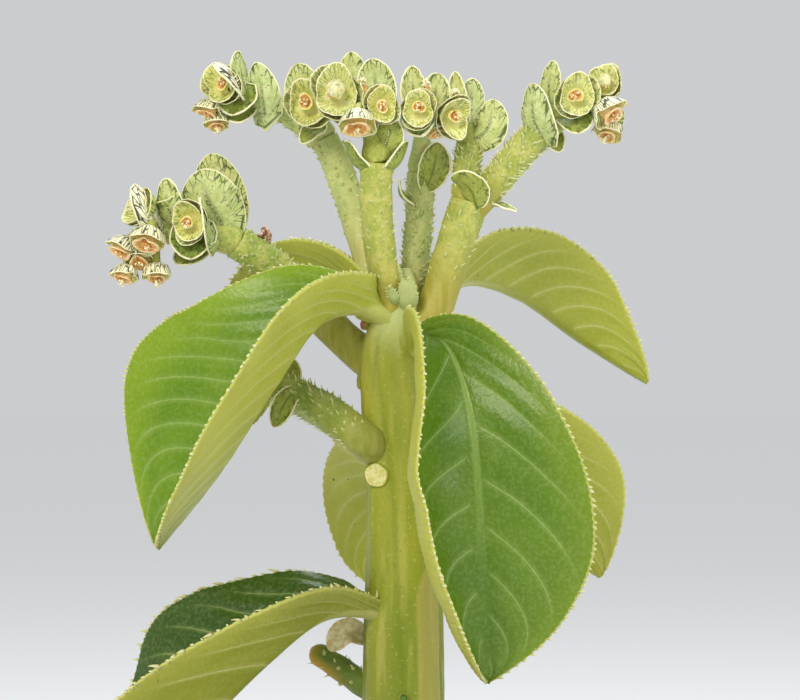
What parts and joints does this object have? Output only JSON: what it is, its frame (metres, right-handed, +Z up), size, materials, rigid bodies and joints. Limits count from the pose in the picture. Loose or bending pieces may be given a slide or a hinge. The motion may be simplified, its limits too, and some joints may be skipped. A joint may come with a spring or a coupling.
{
  "type": "potted euphorbia echinulata",
  "caption": "Upright succulent with a ridged stem, folded toothed leaves and prickly stalks that carry heads of green bract cups, standing in soil in a plain clay pot.",
  "frame": {"origin": "middle of the pot's underside, where it stands", "axes": "+Z up along the stem, -Y towards the front that the picture shows, +X to the right in the picture"},
  "size_m": [0.1275, 0.1137, 0.2783],
  "materials": {
    "clay": "matte",
    "soil": "matte",
    "stem": "satin",
    "stalk": "satin",
    "leaf": "satin",
    "flower": "matte"
  },
  "bodies": {
    "root": {"pot": "clay", "soil": "soil", "stem": "stem", "stalk_centre": "stalk", "stalk_left_top": "stalk", "stalk_inner": "stalk", "stalk_right": "stalk", "stalk_left": "stalk", "stalk_low": "stalk", "side_shoot": "stalk", "leaf_left": "leaf", "leaf_front": "leaf", "leaf_back_right_upper": "leaf", "leaf_back_right_lower": "leaf", "leaf_behind": "leaf", "leaf_back_left_upper": "leaf", "leaf_lower_left": "leaf", "flowers_left": "flower", "flowers_left_top": "flower", "flowers_left_inner": "flower", "flowers_centre": "flower", "flowers_inner": "flower", "flowers_right_inner": "flower", "flowers_right": "flower", "flowers_low": "flower"}
  },
  "joints": []
}
